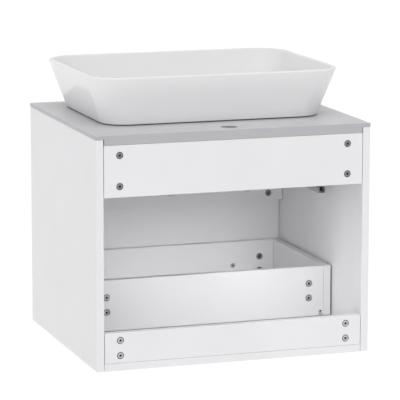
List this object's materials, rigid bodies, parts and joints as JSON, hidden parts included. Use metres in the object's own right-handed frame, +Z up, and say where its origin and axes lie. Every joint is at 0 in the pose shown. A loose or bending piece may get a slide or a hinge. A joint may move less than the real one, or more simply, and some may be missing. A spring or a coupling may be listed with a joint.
{
  "type": "vanity unit with vessel basin",
  "caption": "Wall-hung vanity with a vessel basin on a flat countertop, handleless drawers on hidden runners, an open back and a click waste.",
  "frame": {"origin": "middle of the footprint on the plane of the cabinet's underside", "axes": "+Z up; -Y towards the user, the way the drawers open; +Y to the wall; +X to the user's right"},
  "size_m": [0.6, 0.51, 0.595],
  "materials": {
    "white_melamine": "white melamine facing on board, satin",
    "grey_countertop": "plain pale grey, matt",
    "white_glaze": "white gloss glaze",
    "zinc_steel": "zinc plated",
    "chrome": "polished",
    "grey_plastic": "matt",
    "seal_rubber": "matt"
  },
  "bodies": {
    "cabinet": {"left_side_panel": "white_melamine", "right_side_panel": "white_melamine", "base_panel": "white_melamine", "rear_top_rail": "white_melamine", "rear_bottom_rail": "white_melamine", "front_mid_rail": "white_melamine", "front_top_stretcher": "white_melamine", "rear_top_rail_cam_left_1": "zinc_steel", "rear_top_rail_cam_left_2": "zinc_steel", "rear_top_rail_cam_right_1": "zinc_steel", "rear_top_rail_cam_right_2": "zinc_steel", "rear_bottom_rail_cam_left_1": "zinc_steel", "rear_bottom_rail_cam_left_2": "zinc_steel", "rear_bottom_rail_cam_right_1": "zinc_steel", "rear_bottom_rail_cam_right_2": "zinc_steel", "front_mid_rail_cam_left_1": "zinc_steel", "front_mid_rail_cam_left_2": "zinc_steel", "front_mid_rail_cam_right_1": "zinc_steel", "front_mid_rail_cam_right_2": "zinc_steel", "countertop": "grey_countertop", "basin": "white_glaze", "basin_seal": "seal_rubber", "waste_body": "chrome", "waste_washer": "seal_rubber", "waste_nut": "grey_plastic", "lower_drawer_left_fixed_runner": "zinc_steel", "lower_drawer_right_fixed_runner": "zinc_steel", "upper_drawer_left_fixed_runner": "zinc_steel", "upper_drawer_right_fixed_runner": "zinc_steel"},
    "lower_drawer": {"lower_drawer_left_side": "white_melamine", "lower_drawer_right_side": "white_melamine", "lower_drawer_floor": "white_melamine", "lower_drawer_sub_front": "white_melamine", "lower_drawer_back": "white_melamine", "lower_drawer_front": "white_melamine", "lower_drawer_back_cam_left_1": "zinc_steel", "lower_drawer_back_cam_left_2": "zinc_steel", "lower_drawer_back_cam_right_1": "zinc_steel", "lower_drawer_back_cam_right_2": "zinc_steel", "lower_drawer_sub_front_cam_left_1": "zinc_steel", "lower_drawer_sub_front_cam_left_2": "zinc_steel", "lower_drawer_sub_front_cam_right_1": "zinc_steel", "lower_drawer_sub_front_cam_right_2": "zinc_steel", "lower_drawer_left_drawer_runner": "zinc_steel", "lower_drawer_right_drawer_runner": "zinc_steel"},
    "lower_middle_runners": {"lower_drawer_left_middle_runner": "zinc_steel", "lower_drawer_right_middle_runner": "zinc_steel"},
    "upper_drawer": {"upper_drawer_left_side": "white_melamine", "upper_drawer_right_side": "white_melamine", "upper_drawer_floor": "white_melamine", "upper_drawer_sub_front": "white_melamine", "upper_drawer_left_back": "white_melamine", "upper_drawer_right_back": "white_melamine", "upper_drawer_cutout_liner": "grey_plastic", "upper_drawer_front": "white_melamine", "upper_drawer_left_drawer_runner": "zinc_steel", "upper_drawer_right_drawer_runner": "zinc_steel"},
    "upper_middle_runners": {"upper_drawer_left_middle_runner": "zinc_steel", "upper_drawer_right_middle_runner": "zinc_steel"},
    "waste_plug": {"waste_plug": "chrome"}
  },
  "joints": [
    {"name": "lower_drawer_slide", "type": "slide", "parent": "cabinet", "child": "lower_drawer", "axis": [0, -1, 0], "range_m": [0, 0.27]},
    {"name": "lower_middle_slide", "type": "slide", "parent": "cabinet", "child": "lower_middle_runners", "axis": [0, -1, 0], "range_m": [0, 0.135]},
    {"name": "upper_drawer_slide", "type": "slide", "parent": "cabinet", "child": "upper_drawer", "axis": [0, -1, 0], "range_m": [0, 0.27]},
    {"name": "upper_middle_slide", "type": "slide", "parent": "cabinet", "child": "upper_middle_runners", "axis": [0, -1, 0], "range_m": [0, 0.135]},
    {"name": "plug_press", "type": "slide", "parent": "cabinet", "child": "waste_plug", "axis": [0, 0, -1], "range_m": [0, 0.008]}
  ],
  "couplings": [
    {"joint": "lower_middle_slide", "follows": "lower_drawer_slide", "ratio": 0.5},
    {"joint": "upper_middle_slide", "follows": "upper_drawer_slide", "ratio": 0.5}
  ]
}
